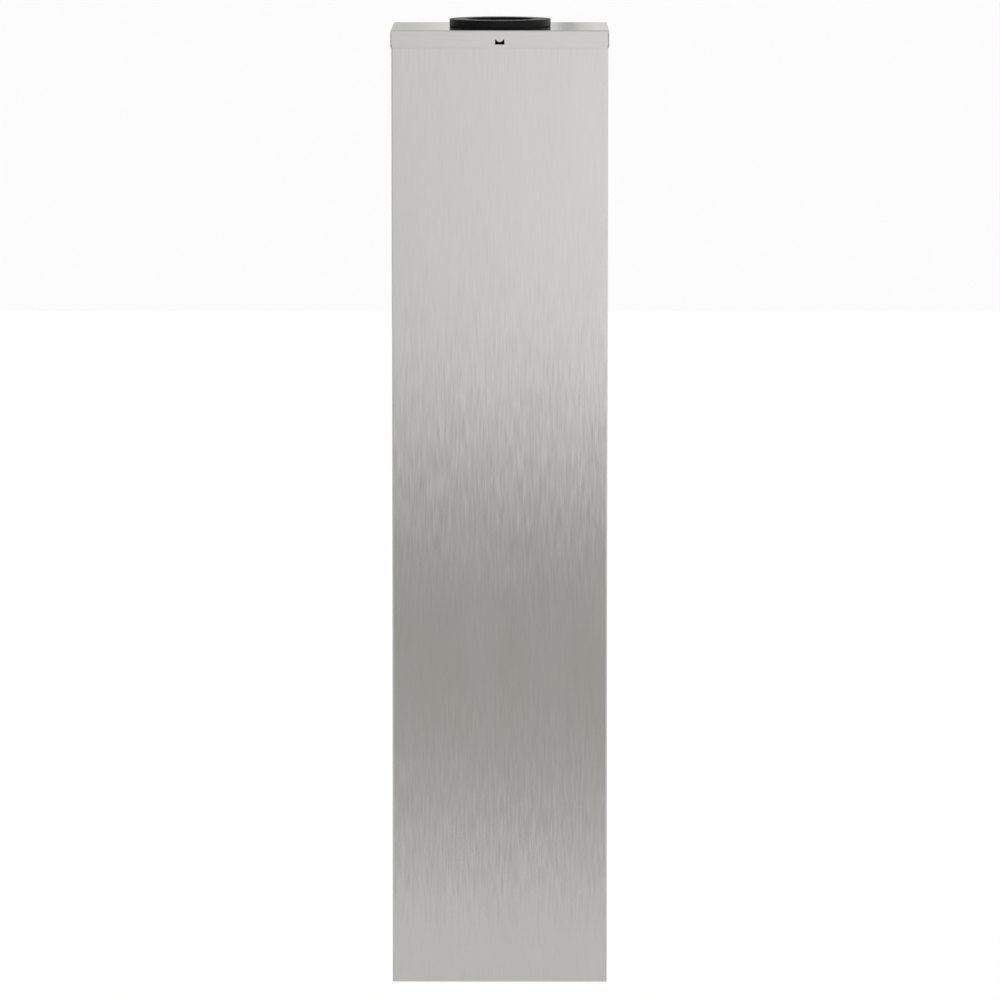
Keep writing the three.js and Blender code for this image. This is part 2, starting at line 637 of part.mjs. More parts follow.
/** A torsion spring on the pin: one leg hooks behind the lever, the other bears on the bracket. */
function catchSpring() {
  const wire = 0.4;
  const coil = 2.6;
  const turns = 3;
  const legUp = [0.78, 14.2];
  const legDown = [8, BRACKET_WEB_Z + BRACKET_SHEET / 2 + GAP + wire - CATCH_PIVOT_Z];
  const coilStart = 6.9;
  const coilEnd = 10.1;
  const first = tangentAngle(...legUp, coil, -1);
  const last = tangentAngle(...legDown, coil, 1) - 2 * Math.PI * turns;
  const points = [[1.5, ...legUp], [4, ...legUp], [coilStart - 0.7, ...legUp]];
  points.push([coilStart, legUp[0] + 0.1, legUp[1] - 0.8]);
  const coilSteps = 12 * turns;
  for (let i = 0; i <= coilSteps; i += 1) {
    const angle = first + ((last - first) * i) / coilSteps;
    const x = coilStart + ((coilEnd - coilStart) * i) / coilSteps;
    points.push([x, coil * Math.cos(angle), coil * Math.sin(angle)]);
  }
  points.push([coilEnd, ...legDown]);
  const path = new THREE.CatmullRomCurve3(points.map((p) => new THREE.Vector3(...p)), false, 'centripetal');
  const section = new THREE.Shape();
  section.absarc(0, 0, wire, 0, 2 * Math.PI);
  return new THREE.ExtrudeGeometry(section, {
    steps: 66, extrudePath: path, curveSegments: 3, bevelEnabled: false,
  });
}

const cheekFace = BRACKET_INNER_X + BRACKET_SHEET;
const catchGroup = new THREE.Group();
catchGroup.position.set(0, CATCH_PIVOT_Y, CATCH_PIVOT_Z);
model.add(catchGroup);
const released = new THREE.Group();
released.rotation.x = -CATCH_TRAVEL;
catchGroup.add(released);

piece('latch_bracket', catchBracket(), brightSteel);
piece('latch_lever', catchLever(), catchPlastic, released);
piece('latch_spring', catchSpring(), brightSteel, catchGroup);
piece('latch_pin', union(
  rod(CATCH_PIN_R, [-cheekFace - GAP - 0.5, cheekFace + 2], 0, 0),
  rod(3, [-cheekFace - GAP - 1, -cheekFace - GAP], 0, 0, 20),
), brightSteel, catchGroup);
piece('latch_pin_clip', cut(
  rod(3.2, [cheekFace + GAP, cheekFace + GAP + 0.7], 0, 0, 20),
  rod(CATCH_BORE_R, [cheekFace, cheekFace + 2], 0, 0),
), brightSteel, catchGroup);
[-BRACKET_STUD_X, BRACKET_STUD_X].forEach((x, i) => {
  piece(`latch_nut_${i + 1}`, hexNut(x, BRACKET_STUD_Y, UNDER_LID - BRACKET_SHEET), brightSteel);
});

// ---------------------------------------------------------------- liner

function liner() {
  const across = [-LINER_HALF_WIDTH, LINER_HALF_WIDTH];
  const along = [LINER_FRONT, LINER_REAR];
  const grow = ([low, high], by) => [low - by, high + by];
  const outer = plate(roundedRectangle(across, along, LINER_CORNER_R), [LINER_BOTTOM, LINER_TOP], 5);
  const lip = plate(
    roundedRectangle(grow(across, LINER_LIP), grow(along, LINER_LIP), LINER_CORNER_R + LINER_LIP),
    [LINER_TOP - LINER_LIP_HEIGHT, LINER_TOP], 5,
  );
  const hollow = plate(
    roundedRectangle(grow(across, -LINER_WALL), grow(along, -LINER_WALL), LINER_CORNER_R - LINER_WALL),
    [LINER_BOTTOM + LINER_FLOOR, LINER_TOP + 1], 5,
  );
  const pivots = rod(BAIL_R + GAP + 0.1, [-BAIL_END_X, BAIL_END_X], BAIL_PIVOT_Y, BAIL_PIVOT_Z);
  return cut(union(outer, lip), hollow, pivots);
}

// the bail lies forward with its grip resting on the liner's front lip
const BAIL_REACH = BAIL_PIVOT_Y - LINER_FRONT;
const BAIL_CLIMB = LINER_TOP + GAP + BAIL_GRIP_R - BAIL_PIVOT_Z;
const BAIL_LENGTH = Math.hypot(BAIL_REACH, BAIL_CLIMB);
const BAIL_REST_TILT = Math.atan2(BAIL_CLIMB, BAIL_REACH);

/** A wire bail, drawn flat around its pivot axis, with its two ends turned out through the liner. */
function bail() {
  const route = new THREE.CurvePath();
  const bend = 8;
  const endBend = 4;
  const at = (x, y) => new THREE.Vector3(x, y, 0);
  const line = (a, b) => route.add(new THREE.LineCurve3(a, b));
  const corner = (a, via, b) => route.add(new THREE.QuadraticBezierCurve3(a, via, b));
  const arm = BAIL_ARM_X;
  const reach = -BAIL_LENGTH;
  line(at(BAIL_END_X, 0), at(arm + endBend, 0));
  corner(at(arm + endBend, 0), at(arm, 0), at(arm, -endBend));
  line(at(arm, -endBend), at(arm, reach + bend));
  corner(at(arm, reach + bend), at(arm, reach), at(arm - bend, reach));
  line(at(arm - bend, reach), at(bend - arm, reach));
  corner(at(bend - arm, reach), at(-arm, reach), at(-arm, reach + bend));
  line(at(-arm, reach + bend), at(-arm, -endBend));
  corner(at(-arm, -endBend), at(-arm, 0), at(-arm - endBend, 0));
  line(at(-arm - endBend, 0), at(-BAIL_END_X, 0));
  const section = new THREE.Shape();
  section.absarc(0, 0, BAIL_R, 0, 2 * Math.PI);
  return new THREE.ExtrudeGeometry(section, {
    steps: 80, extrudePath: route, curveSegments: 4, bevelEnabled: false,
  });
}

/** A plastic tube on the middle of the bail, ridged for the fingers. */
function bailGrip() {
  const profile = [];
  const ridges = 4;
  const pitch = (2 * BAIL_GRIP_HALF) / ridges;
  for (let i = 0; i < ridges; i += 1) {
    const start = -BAIL_GRIP_HALF + i * pitch;
    profile.push([BAIL_GRIP_R - 0.7, start + 0.6], [BAIL_GRIP_R, start + 2.2]);
    profile.push([BAIL_GRIP_R, start + pitch - 2.2], [BAIL_GRIP_R - 0.7, start + pitch - 0.6]);
  }
  profile.push([BAIL_GRIP_BORE_R, BAIL_GRIP_HALF - 0.6], [BAIL_GRIP_BORE_R, -BAIL_GRIP_HALF + 0.6]);
  profile.push(profile[0]);
  const geometry = new THREE.LatheGeometry(profile.map(([r, x]) => new THREE.Vector2(r, x)), SMALL_SIDES);
  geometry.rotateZ(-Math.PI / 2);
  geometry.translate(0, -BAIL_LENGTH, 0);
  return solid(geometry);
}

const bailGroup = new THREE.Group();
bailGroup.position.set(0, BAIL_PIVOT_Y, BAIL_PIVOT_Z);
bailGroup.rotation.x = -BAIL_REST_TILT;
model.add(bailGroup);

piece('liner', liner(), linerPlastic);
piece('liner_handle', bail(), brightSteel, bailGroup);
piece('handle_grip', bailGrip(), blackPlastic, bailGroup);

export default model;
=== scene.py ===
"""Looks for a wall-mounted drop-in mailbox in brushed stainless steel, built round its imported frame.

Metres. +Z is up, the front faces -Y and the wall is the plane y = 0.
"""

import json
import math

import bmesh
import bpy
from mathutils import Matrix, Vector


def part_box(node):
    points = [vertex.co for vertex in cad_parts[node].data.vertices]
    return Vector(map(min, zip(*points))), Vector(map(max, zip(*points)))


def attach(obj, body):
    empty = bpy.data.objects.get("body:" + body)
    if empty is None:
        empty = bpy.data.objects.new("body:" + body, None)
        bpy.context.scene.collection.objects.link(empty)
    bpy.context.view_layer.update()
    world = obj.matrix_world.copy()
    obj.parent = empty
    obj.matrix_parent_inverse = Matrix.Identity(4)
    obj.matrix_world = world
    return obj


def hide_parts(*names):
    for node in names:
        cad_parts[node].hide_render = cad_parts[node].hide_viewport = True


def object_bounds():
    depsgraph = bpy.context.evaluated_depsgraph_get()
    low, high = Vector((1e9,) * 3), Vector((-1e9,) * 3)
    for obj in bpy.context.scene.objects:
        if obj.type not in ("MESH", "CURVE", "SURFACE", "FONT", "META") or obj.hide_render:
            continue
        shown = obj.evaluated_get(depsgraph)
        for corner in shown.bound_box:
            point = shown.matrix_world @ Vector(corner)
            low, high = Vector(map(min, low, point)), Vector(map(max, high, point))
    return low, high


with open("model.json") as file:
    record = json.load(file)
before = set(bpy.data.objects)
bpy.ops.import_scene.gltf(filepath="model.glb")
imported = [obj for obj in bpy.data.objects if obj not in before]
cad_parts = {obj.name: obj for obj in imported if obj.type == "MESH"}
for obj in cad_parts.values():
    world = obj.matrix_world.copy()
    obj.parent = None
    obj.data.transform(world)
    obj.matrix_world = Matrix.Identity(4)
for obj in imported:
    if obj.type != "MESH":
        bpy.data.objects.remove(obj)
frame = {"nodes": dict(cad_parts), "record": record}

# ---------------------------------------------------------------- driving values

MM = 0.001
CAD_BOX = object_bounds()

CAMERA_PLACE = (0.0304, -7.2, 0.8140)
CAMERA_PAN = 0.0043
CAMERA_TILT = 0.1143
CAMERA_LENS = 242.9
SENSOR_WIDTH = 36.0

FLOOR_Z = CAD_BOX[0].z - 0.35  # the box hangs on a wall, clear of the studio floor
FLOOR_RADIUS = 40.0
FLOOR_GLOW = 0.42
FLOOR_CARD_RADIUS = 12.0

STEEL = (0.610, 0.604, 0.592)
LID_STEEL = (0.625, 0.618, 0.607)
FITTING_STEEL = (0.52, 0.52, 0.515)
COLLAR_BLACK = (0.0065, 0.0068, 0.0066)
CATCH_GREY = (0.026, 0.027, 0.029)
LINER_GREY = (0.105, 0.113, 0.118)
RUBBER_BLACK = (0.011, 0.011, 0.011)

# the grain of brushed sheet, as widths and lengths of its marks
HAIR = (0.7 * MM, 30 * MM)
STREAK = (1.4 * MM, 30 * MM)
CLOUD = (50 * MM, 220 * MM)
HAIR_SHARE = 0.55  # of the changes in colour; the streaks make the rest
HAIR_DEPTH = 0.06 * MM
HAIR_BUMP = 0.16
ROUGHNESS_SWING = 0.045  # each way, from place to place
GLANCE_RANGE = (0.65, 0.88)  # from facing 0 to glancing 1, where the roughness falls off
LID_TILT = 0.006  # the lid's streaks are shallower than the body's
LID_GLANCE = 0.22  # and it mirrors more at a glance

CARD_DISTANCE = 1.0  # from the box to the card in front
BACK_CARD_Y = 0.6
ROOM_BACK = 0.66  # how bright the object sees the room behind, on the left and overhead
ROOM_LEFT = 0.35
ROOM_CEILING = 0.64

LEAN_HALF_WIDTH = 0.45  # a leaning card reaches its full lean this far to each side
LEAN_RISE = (-0.30, 0.0)  # and between these heights

X_AXIS, Y_AXIS, Z_AXIS = 0, 1, 2

# facets round a turned piece
COLLAR_SIDES = 192
GRIP_SIDES = 36
BUFFER_SIDES = 32
WIRE_SIDES = 20

WELD = 1e-6
FLAT = math.radians(1)
FOLD = math.radians(40)  # an edge sharper than this is a cut edge and gets rounded
SMOOTH = math.radians(50)  # an edge blunter than this is shaded smooth

BODY_OF = {node: body for body, nodes in frame["record"]["behaviour"]["bodies"].items() for node in nodes}


# ---------------------------------------------------------------- mesh tools

def clean_copy(node):
    """A CAD node's mesh with its triangles joined into flat faces."""
    bm = bmesh.new()
    bm.from_mesh(frame["nodes"][node].data)
    bmesh.ops.remove_doubles(bm, verts=bm.verts, dist=WELD)
    bmesh.ops.dissolve_limit(bm, angle_limit=FLAT, verts=bm.verts, edges=bm.edges)
    return bm


def round_edges(bm, width, segments=2):
    """Rounds every cut edge over."""
    edges = [e for e in bm.edges if len(e.link_faces) == 2 and e.calc_face_angle() > FOLD]
    bmesh.ops.bevel(
        bm, geom=edges, offset=width, offset_type="OFFSET", segments=segments, profile=0.5,
        affect="EDGES", clamp_overlap=True, loop_slide=True,
    )


def make_piece(name, bm, node, materials, pick=None):
    """Turns a finished mesh into a piece that stands for its CAD node and rides on the node's body."""
    if pick:
        for face in bm.faces:
            face.material_index = pick(face.normal, face.calc_center_median())
    for face in bm.faces:
        face.smooth = True
    for edge in bm.edges:
        edge.smooth = len(edge.link_faces) == 2 and edge.calc_face_angle() < SMOOTH
    mesh = bpy.data.meshes.new(name)
    bm.to_mesh(mesh)
    bm.free()
    split = mesh.attributes.get("custom_normal")
    if split:
        mesh.attributes.remove(split)
    for material in materials:
        mesh.materials.append(material)
    piece = bpy.data.objects.new(name, mesh)
    bpy.context.scene.collection.objects.link(piece)
    weighted = piece.modifiers.new("Weighted normals", "WEIGHTED_NORMAL")
    weighted.keep_sharp = True
    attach(piece, BODY_OF[node])
    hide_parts(node)
    return piece


def refined(node, width, materials, pick=None, segments=2):
    """A CAD node with its cut edges rounded over and its folds and bores smooth."""
    bm = clean_copy(node)
    round_edges(bm, width, segments)
    return make_piece(f"{node}_finished", bm, node, materials, pick)


def rounded(corners, steps=6):
    """A closed outline from (x, y, radius) corners, each turned into an arc."""
    points = []
    for i, (x, y, radius) in enumerate(corners):
        here = Vector((x, y))
        if radius == 0:
            points.append(here)
            continue
        to_last = (Vector(corners[i - 1][:2]) - here).normalized()
        to_next = (Vector(corners[(i + 1) % len(corners)][:2]) - here).normalized()
        half = math.acos(max(-1.0, min(1.0, to_last.dot(to_next)))) / 2
        centre = here + (to_last + to_next).normalized() * radius / math.sin(half)
        start = here + to_last * radius / math.tan(half) - centre
        end = here + to_next * radius / math.tan(half) - centre
        turn = math.pi - 2 * half
        for k in range(steps + 1):
            share = k / steps
            points.append(
                centre
                + start * math.sin((1 - share) * turn) / math.sin(turn)
                + end * math.sin(share * turn) / math.sin(turn)
            )
    return points


def turned(profile, sides, place):
    """A solid turned round an axis. The profile is a closed outline of (radius, distance along the axis)."""
    bm = bmesh.new()
    rings = []
    for radius, along in profile:
        if radius < WELD:
            rings.append([bm.verts.new(place @ Vector((0, 0, along)))] * sides)
            continue
        ring = []
        for i in range(sides):
            angle = 2 * math.pi * i / sides
            point = Vector((radius * math.cos(angle), radius * math.sin(angle), along))
            ring.append(bm.verts.new(place @ point))
        rings.append(ring)
    for ring, following in zip(rings, rings[1:] + rings[:1]):
        for i in range(sides):
            j = (i + 1) % sides
            corners = list(dict.fromkeys((ring[i], ring[j], following[j], following[i])))
            if len(corners) > 2:
                bm.faces.new(corners)
    bmesh.ops.recalc_face_normals(bm, faces=bm.faces)
    return bm


def tube(path, radius, sides=WIRE_SIDES):
    """A round wire along a path of points, closed at both ends."""
    bm = bmesh.new()
    rings = []
    side = None
    for i, point in enumerate(path):
        ahead = (path[min(i + 1, len(path) - 1)] - path[max(i - 1, 0)]).normalized()
        side = ahead.orthogonal() if side is None else side - ahead * side.dot(ahead)
        side.normalize()
        up = ahead.cross(side)
        ring = []
        for k in range(sides):
            angle = 2 * math.pi * k / sides
            ring.append(bm.verts.new(point + (side * math.cos(angle) + up * math.sin(angle)) * radius))
        rings.append(ring)
    for ring, following in zip(rings, rings[1:]):
        for i in range(sides):
            j = (i + 1) % sides
            bm.faces.new((ring[i], ring[j], following[j], following[i]))
    bm.faces.new(rings[0])
    bm.faces.new(rings[-1])
    bmesh.ops.recalc_face_normals(bm, faces=bm.faces)
    return bm


# ---------------------------------------------------------------- materials

class Nodes:
    """The node tree of a material or of the world, built a node at a time."""

    def __init__(self, owner):
        self.owner = owner
        owner.use_nodes = True
        self.tree = owner.node_tree
        self.tree.nodes.clear()

    def add(self, kind, inputs=None, **settings):
        """Adds a node. An input is a plain value or another node's output."""
        node = self.tree.nodes.new(kind)
        for key, value in settings.items():
            setattr(node, key, value)
        for key, value in (inputs or {}).items():
            if isinstance(value, bpy.types.NodeSocket):
                self.tree.links.new(value, node.inputs[key])
            else:
                node.inputs[key].default_value = value
        return node

    def noise(self, size, detail=2.0, seed=0.0):
        """Object-space noise whose features measure size = (x, y, z) in metres."""
        place = self.add("ShaderNodeTexCoord").outputs["Object"]
        scale = tuple(1 / length for length in size)
        mapped = self.add(
            "ShaderNodeMapping", {"Vector": place, "Scale": scale, "Location": (seed, seed, seed)},
        )
        texture = self.add(
            "ShaderNodeTexNoise", {"Vector": mapped.outputs["Vector"], "Scale": 1.0, "Detail": detail},
        )
        return texture.outputs[0]

    def spread(self, value, low, high, start=0.3, stop=0.7):
        """Maps a noise value onto low to high."""
        ranged = self.add(
            "ShaderNodeMapRange",
            {"Value": value, "From Min": start, "From Max": stop, "To Min": low, "To Max": high},
        )
        return ranged.outputs[0]

    def tinted(self, value, dark, light):
        """A colour between dark and light."""
        mix = self.add("ShaderNodeMix", {0: value}, data_type="RGBA")
        mix.inputs[6].default_value = (*dark, 1)
        mix.inputs[7].default_value = (*light, 1)
        return mix.outputs[2]

    def vector(self, operation, *values):
        """A vector maths node's result."""
        node = self.add("ShaderNodeVectorMath", dict(enumerate(values)), operation=operation)
        return node.outputs[0]

    def maths(self, operation, *values):
        """A maths node's result."""
        node = self.add("ShaderNodeMath", dict(enumerate(values)), operation=operation)
        return node.outputs[0]

    def finish(self, surface, output="ShaderNodeOutputMaterial"):
        """Sends a shader to the output."""
        self.add(output, {"Surface": surface.outputs[0]})
        return self.owner


def shader_of(name):
    """An empty shader for a new material."""
    return Nodes(bpy.data.materials.new(name))


def shade(colour, factor):
    """A colour made darker or lighter."""
    return tuple(min(1.0, c * factor) for c in colour)


def drawn_out(grain, width, length):
    """A noise size that is long along the grain and narrow across it."""
    return tuple(length if axis == grain else width for axis in "XYZ")


def brushed(name, colour, grain, tilt=0.040, glance=0.38, roughness=0.33, anisotropic=0.68, contrast=0.03):
    """Brushed sheet: hairlines and streaks along the grain, and highlights drawn out across it.

    The streaks tilt the surface by up to tilt. At a glance its roughness falls to the share glance.
    """
    shader = shader_of(name)
    axis = tuple(1.0 if letter == grain else 0.0 for letter in "XYZ")
    hairs = shader.noise(drawn_out(grain, *HAIR), 3.0)
    streaks = shader.noise(drawn_out(grain, *STREAK), 2.5, seed=3.7)
    clouds = shader.noise(drawn_out(grain, *CLOUD), 2.0, seed=9.1)

    mixed = shader.maths("MULTIPLY", hairs, HAIR_SHARE)
    mixed = shader.maths("MULTIPLY_ADD", streaks, 1 - HAIR_SHARE, mixed)
    base = shader.tinted(
        shader.spread(mixed, 0.0, 1.0), shade(colour, 1 - contrast), shade(colour, 1 + contrast),
    )
    patchy = shader.maths("MULTIPLY_ADD", clouds, 0.5, 0.25)
    patchy = shader.maths("MULTIPLY_ADD", hairs, 0.5, patchy)
    rough = shader.spread(patchy, roughness - ROUGHNESS_SWING, roughness + ROUGHNESS_SWING, 0.55, 0.95)
    facing = shader.add("ShaderNodeLayerWeight", {"Blend": 0.5}).outputs["Facing"]
    rough = shader.maths("MULTIPLY", rough, shader.spread(facing, 1.0, glance, *GLANCE_RANGE))

    normal = shader.add("ShaderNodeNewGeometry").outputs["Normal"]
    lean = shader.spread(streaks, -tilt, tilt, 0.25, 0.75)
    leaning = shader.vector("SCALE", axis)
    shader.tree.links.new(lean, leaning.node.inputs["Scale"])
    tilted = shader.vector("NORMALIZE", shader.vector("ADD", normal, leaning))
    bump = shader.add(
        "ShaderNodeBump",
        {"Height": hairs, "Strength": HAIR_BUMP, "Distance": HAIR_DEPTH, "Normal": tilted},
    )
    across = shader.vector("CROSS_PRODUCT", normal, axis)

    return shader.finish(shader.add("ShaderNodeBsdfPrincipled", {
        "Base Color": base,
        "Metallic": 1.0,
        "Roughness": rough,
        "Anisotropic": anisotropic,
        "Tangent": across,
        "Normal": bump.outputs[0],
    }))


def milled(name, colour):
    """Plain stainless fittings: faint random marks and a softer, uneven shine."""
    shader = shader_of(name)
    marks = shader.noise((0.6 * MM, 0.9 * MM, 0.6 * MM), 4.0)
    patches = shader.noise((6 * MM, 6 * MM, 6 * MM), 3.0, seed=2.3)
    bump = shader.add("ShaderNodeBump", {"Height": marks, "Strength": 0.22, "Distance": 0.05 * MM})
    base = shader.tinted(shader.spread(patches, 0.0, 1.0), shade(colour, 0.9), shade(colour, 1.06))
    return shader.finish(shader.add("ShaderNodeBsdfPrincipled", {
        "Base Color": base,
        "Metallic": 1.0,
        "Roughness": shader.spread(marks, 0.24, 0.36),
        "Normal": bump.outputs[0],
    }))


def moulded(name, colour, roughness, specular, texture=0.5 * MM, relief=0.04 * MM, coat=0.0):
    """Moulded plastic: a fine spark-eroded texture, with slow changes of colour and shine."""
    shader = shader_of(name)
    fine = shader.noise((texture, texture, texture), 2.0)
    slow = shader.noise((20 * MM, 20 * MM, 20 * MM), 3.0, seed=5.9)
    bump = shader.add("ShaderNodeBump", {"Height": fine, "Strength": 0.35, "Distance": relief})
    base = shader.tinted(shader.spread(slow, 0.0, 1.0), shade(colour, 0.9), shade(colour, 1.12))
    return shader.finish(shader.add("ShaderNodeBsdfPrincipled", {
        "Base Color": base,
        "Roughness": shader.spread(slow, roughness - 0.03, roughness + 0.04),
        "Specular IOR Level": specular,
        "Coat Weight": coat,
        "Coat Roughness": 0.3,
        "Normal": bump.outputs[0],
    }))


STEEL_UP = brushed("steel_grain_up", STEEL, "Z")
STEEL_ACROSS = brushed("steel_grain_across", STEEL, "X")
STEEL_DEEP = brushed("steel_grain_front_to_back", STEEL, "Y")
LID_ACROSS = brushed("lid_grain_across", LID_STEEL, "X", LID_TILT, LID_GLANCE)
LID_UP = brushed("lid_grain_up", LID_STEEL, "Z", LID_TILT, LID_GLANCE)
FITTINGS = milled("fittings_steel_mill", FITTING_STEEL)
COLLAR_PLASTIC = moulded("collar_satin", COLLAR_BLACK, 0.36, 0.14)
CATCH_PLASTIC = moulded("catch_nylon", CATCH_GREY, 0.5, 0.4)
LINER_PLASTIC = moulded(
    "liner_waxy", LINER_GREY, 0.48, 0.45, texture=1.2 * MM, relief=0.08 * MM, coat=0.15,
)
RUBBER = moulded("rubber_matt", RUBBER_BLACK, 0.8, 0.25, texture=0.8 * MM, relief=0.1 * MM)


# ---------------------------------------------------------------- housing

EDGE = 0.12 * MM  # a deburred sheet edge
NUT_EDGE = 0.25 * MM
FRONT_FLANGE = 16 * MM  # how far back the top's front flange reaches


def shell_grain(normal, centre):
    """The grain runs up the walls, and across each fold onto the flanges."""
    if abs(normal.z) < 0.5:
        return 0
    front_flange = centre.y < CAD_BOX[0].y + FRONT_FLANGE
    return 1 if front_flange else 2


refined("body_shell", EDGE, [STEEL_UP, STEEL_DEEP, STEEL_ACROSS], shell_grain)
refined("back_panel", EDGE, [STEEL_UP])
refined("base_pan", EDGE, [STEEL_ACROSS])

for number in range(1, 5):
    node = f"lid_buffer_{number}"
    low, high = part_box(node)
    middle = (low + high) / 2
    head = (high.x - low.x) / 2
    neck, barb = 1.7 * MM, 2.8 * MM
    barb_top = low.z + 3 * MM
    head_under = barb_top + 1.6 * MM
    outline = rounded([
        (0, low.z, 0), (1.2 * MM, low.z, 0.3 * MM), (barb, barb_top - 0.6 * MM, 0.2 * MM),
        (barb, barb_top, 0), (neck, barb_top, 0), (neck, head_under, 0),
        (head, head_under, 0.3 * MM), (head, high.z, 1.2 * MM), (0, high.z, 0),
    ])
    buffer = turned(outline, BUFFER_SIDES, Matrix.Translation((middle.x, middle.y, 0)))
    make_piece(f"{node}_finished", buffer, node, [RUBBER])


# ---------------------------------------------------------------- lid

def lid_grain(normal, centre):
    """The grain runs from side to side, and so down the side skirts."""
    return 1 if abs(normal.x) > 0.7 else 0


refined("lid_panel", EDGE, [LID_ACROSS, LID_UP], lid_grain)


def collar():
    """The drop-in collar: a flat ring with soft edges on a neck that goes down through the lid."""
    low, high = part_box("collar")
    centre = (low + high) / 2
    outer = (high.x - low.x) / 2
    throat, neck = 35.5 * MM, 39.5 * MM
    seat_play = 0.15 * MM
    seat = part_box("collar_gasket")[1].z + seat_play
    outline = rounded([
        (throat, low.z, 0.4 * MM), (neck, low.z, 0.8 * MM), (neck, seat, 0),
        (outer, seat, 0.15 * MM), (outer, high.z, 0.6 * MM), (throat, high.z, 1.3 * MM),
    ])
    return turned(outline, COLLAR_SIDES, Matrix.Translation((centre.x, centre.y, 0)))


make_piece("collar_finished", collar(), "collar", [COLLAR_PLASTIC])
refined("collar_gasket", 0.2 * MM, [RUBBER])
refined("collar_nut", 0.5 * MM, [COLLAR_PLASTIC], segments=3)

refined("hinge_leaf_body", EDGE, [FITTINGS])
refined("hinge_leaf_lid", EDGE, [FITTINGS])
refined("hinge_pin", 0.3 * MM, [FITTINGS])
for number in range(1, 6):
    refined(f"hinge_rivet_{number}", 0.15 * MM, [FITTINGS])
    refined(f"lid_hinge_nut_{number}", NUT_EDGE, [FITTINGS])

refined("latch_bracket", EDGE, [FITTINGS])
refined("latch_lever", 0.35 * MM, [CATCH_PLASTIC], segments=3)
refined("latch_pin", 0.2 * MM, [FITTINGS])
refined("latch_pin_clip", 0.1 * MM, [FITTINGS])
refined("latch_nut_1", NUT_EDGE, [FITTINGS])
refined("latch_nut_2", NUT_EDGE, [FITTINGS])

spring = make_piece("latch_spring_finished", clean_copy("latch_spring"), "latch_spring", [FITTINGS])
rounding = spring.modifiers.new("Round wire", "SUBSURF")
rounding.levels = rounding.render_levels = 2


# ---------------------------------------------------------------- liner

refined("liner", 0.5 * MM, [LINER_PLASTIC], segments=3)


def arc_between(start, corner, end, steps=8):
    """A smooth bend from start to end round a corner."""
    return [
        start * (1 - t) ** 2 + corner * 2 * t * (1 - t) + end * t ** 2
        for t in (k / steps for k in range(steps + 1))
    ]


def bail_frame():
    """The bail's pivot, and the direction and length from the pivot to the middle of its grip."""
    liner_low, liner_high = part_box("liner")
    pivot = Vector((0, (liner_low.y + liner_high.y) / 2, liner_high.z - 8 * MM))
    low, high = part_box("handle_grip")
    reach = (low + high) / 2 - pivot
    reach.x = 0
    return pivot, reach.normalized(), reach.length


def bail():
    """A wire bail with its ends turned out through the liner's sides."""
    pivot, out, length = bail_frame()
    low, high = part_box("liner_handle")
    end = high.x
    arm = end - 7.5 * MM
    turn, bend = 4 * MM, 8 * MM

    def at(x, along):
        return pivot + Vector((x, 0, 0)) + out * along

    half = [at(end, 0)]
    half += arc_between(at(arm + turn, 0), at(arm, 0), at(arm, turn))
    half += [at(arm, turn + (length - turn - bend) * k / 6) for k in range(1, 6)]
    half += arc_between(at(arm, length - bend), at(arm, length), at(arm - bend, length))
    mirrored = [Vector((-p.x, p.y, p.z)) for p in reversed(half)]
    return tube(half + mirrored, 2.5 * MM)


def bail_grip():
    """A plastic tube on the bail, with soft ridges for the fingers."""
    pivot, out, length = bail_frame()
    low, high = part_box("handle_grip")
    half = high.x
    outer, valley, bore = 5 * MM, 4.3 * MM, 2.85 * MM
    flank, tight, soft = 1.8 * MM, 0.2 * MM, 1.2 * MM
    ridges = 4
    pitch = 2 * half / ridges
    corners = []
    for i in range(ridges):
        start = -half + i * pitch
        corners.append((valley, start, tight))
        corners.append((outer, start + flank, soft))
        corners.append((outer, start + pitch - flank, soft))
    corners += [(valley, half, tight), (bore, half, tight), (bore, -half, tight)]
    place = Matrix.Translation(pivot + out * length) @ Matrix.Rotation(math.pi / 2, 4, "Y")
    return turned(rounded(corners), GRIP_SIDES, place)


make_piece("liner_handle_finished", bail(), "liner_handle", [FITTINGS])
make_piece("handle_grip_finished", bail_grip(), "handle_grip", [CATCH_PLASTIC])


# ---------------------------------------------------------------- camera

def camera():
    """Looks at the box from straight ahead and a little above, from far off."""
    data = bpy.data.cameras.new("camera")
    data.lens = CAMERA_LENS
    data.sensor_width = SENSOR_WIDTH
    eye = bpy.data.objects.new("camera", data)
    bpy.context.scene.collection.objects.link(eye)
    eye.location = CAMERA_PLACE
    forward = Vector((
        -math.sin(CAMERA_PAN) * math.cos(CAMERA_TILT),
        math.cos(CAMERA_PAN) * math.cos(CAMERA_TILT),
        -math.sin(CAMERA_TILT),
    ))
    eye.rotation_euler = forward.to_track_quat("-Z", "Y").to_euler()
    bpy.context.scene.camera = eye


# ---------------------------------------------------------------- studio

def sheet_object(name, corners, material):
    """A flat four-cornered sheet of the studio, which isn't part of the object."""
    mesh = bpy.data.meshes.new(name)
    mesh.from_pydata(corners, [], [(0, 1, 2, 3)])
    mesh.materials.append(material)
    sheet = bpy.data.objects.new(name, mesh)
    bpy.context.scene.collection.objects.link(sheet)
    return sheet


def level_square(half, z):
    """The corners of a level square sheet."""
    return [(-half, -half, z), (half, -half, z), (half, half, z), (-half, half, z)]


